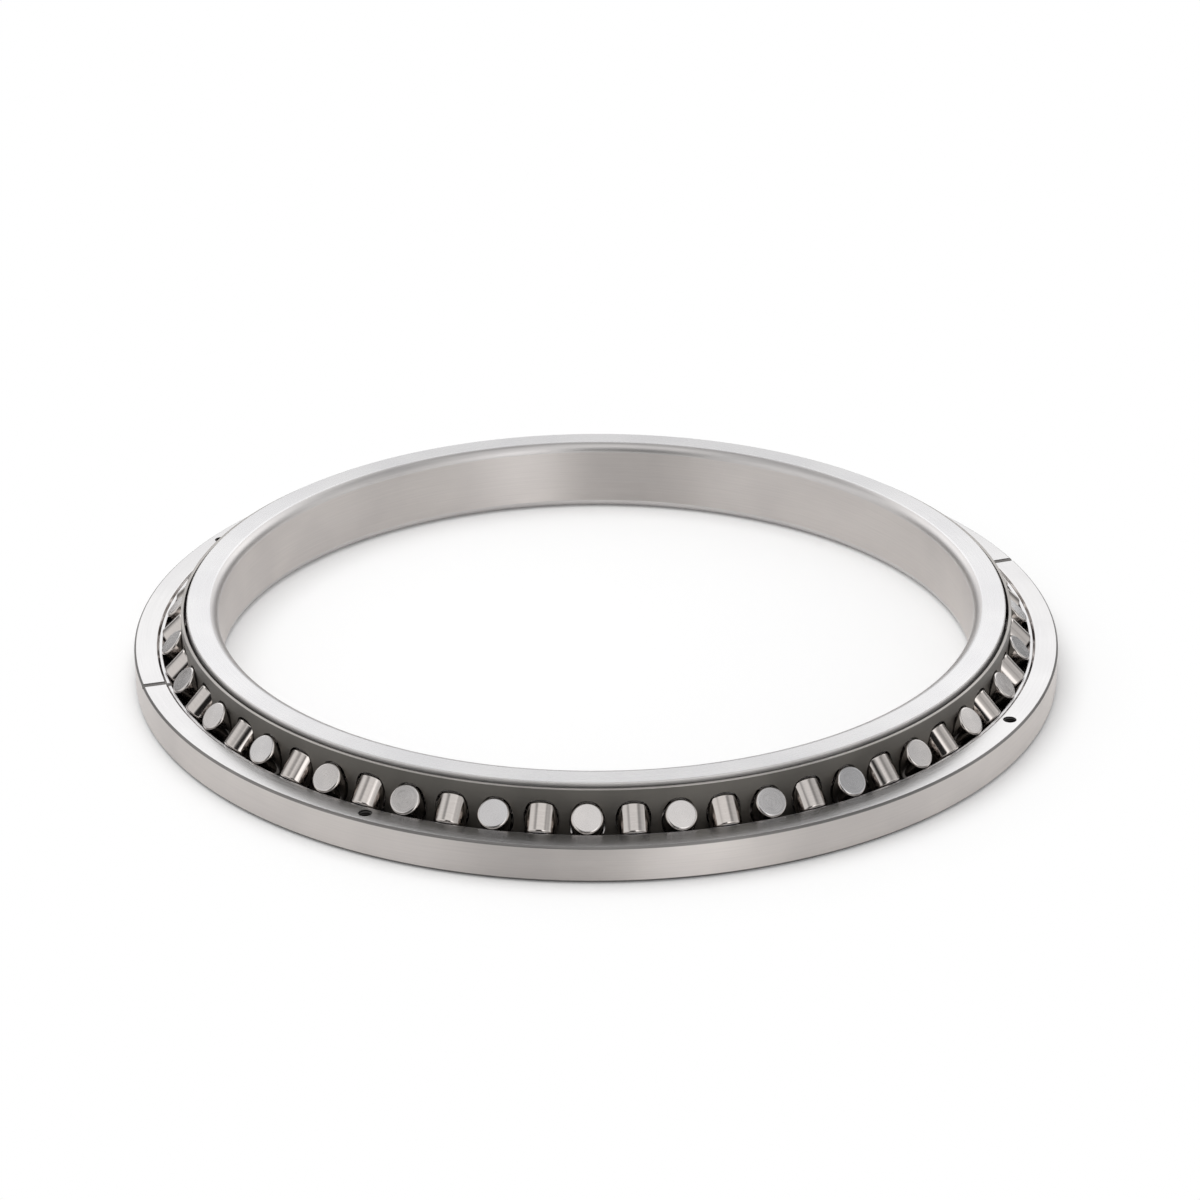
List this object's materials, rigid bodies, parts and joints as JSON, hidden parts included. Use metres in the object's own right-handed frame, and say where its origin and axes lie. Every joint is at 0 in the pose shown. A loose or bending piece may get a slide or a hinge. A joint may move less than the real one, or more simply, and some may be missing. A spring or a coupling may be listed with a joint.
{
  "type": "crossed roller bearing",
  "caption": "Crossed roller bearing lying flat with the upper half of its split outer ring taken off, so that the tilted rollers in their cage show between the V raceways.",
  "frame": {"origin": "on the axis of rotation, at the level of the bottom faces of both rings", "axes": "+Z along the axis of rotation, upwards through the open side; +X midway between two bolt holes, near one of the two oil grooves"},
  "size_m": [0.31, 0.31, 0.025],
  "materials": {
    "ring_steel": "fine ground, lightly oiled",
    "roller_steel": "fine ground and lapped",
    "cage_steel": "dark satin oxide"
  },
  "bodies": {
    "outer_ring": {"outer_ring_lower": "ring_steel"},
    "inner_ring": {"inner_ring": "ring_steel"},
    "cage": {"cage": "cage_steel", "roller_pair_01": "roller_steel", "roller_pair_02": "roller_steel", "roller_pair_03": "roller_steel", "roller_pair_04": "roller_steel", "roller_pair_05": "roller_steel", "roller_pair_06": "roller_steel", "roller_pair_07": "roller_steel", "roller_pair_08": "roller_steel", "roller_pair_09": "roller_steel", "roller_pair_10": "roller_steel", "roller_pair_11": "roller_steel", "roller_pair_12": "roller_steel", "roller_pair_13": "roller_steel", "roller_pair_14": "roller_steel", "roller_pair_15": "roller_steel", "roller_pair_16": "roller_steel", "roller_pair_17": "roller_steel", "roller_pair_18": "roller_steel", "roller_pair_19": "roller_steel", "roller_pair_20": "roller_steel", "roller_pair_21": "roller_steel", "roller_pair_22": "roller_steel", "roller_pair_23": "roller_steel", "roller_pair_24": "roller_steel", "roller_pair_25": "roller_steel", "roller_pair_26": "roller_steel", "roller_pair_27": "roller_steel", "roller_pair_28": "roller_steel", "roller_pair_29": "roller_steel", "roller_pair_30": "roller_steel", "roller_pair_31": "roller_steel"}
  },
  "joints": [
    {"name": "inner_ring_turn", "type": "hinge", "parent": "outer_ring", "child": "inner_ring", "pos_m": [0, 0, 0.0125], "axis": [0, 0, 1], "continuous": true},
    {"name": "cage_turn", "type": "hinge", "parent": "outer_ring", "child": "cage", "pos_m": [0, 0, 0.0125], "axis": [0, 0, 1], "continuous": true}
  ],
  "couplings": [
    {"joint": "cage_turn", "follows": "inner_ring_turn", "ratio": 0.4873}
  ]
}
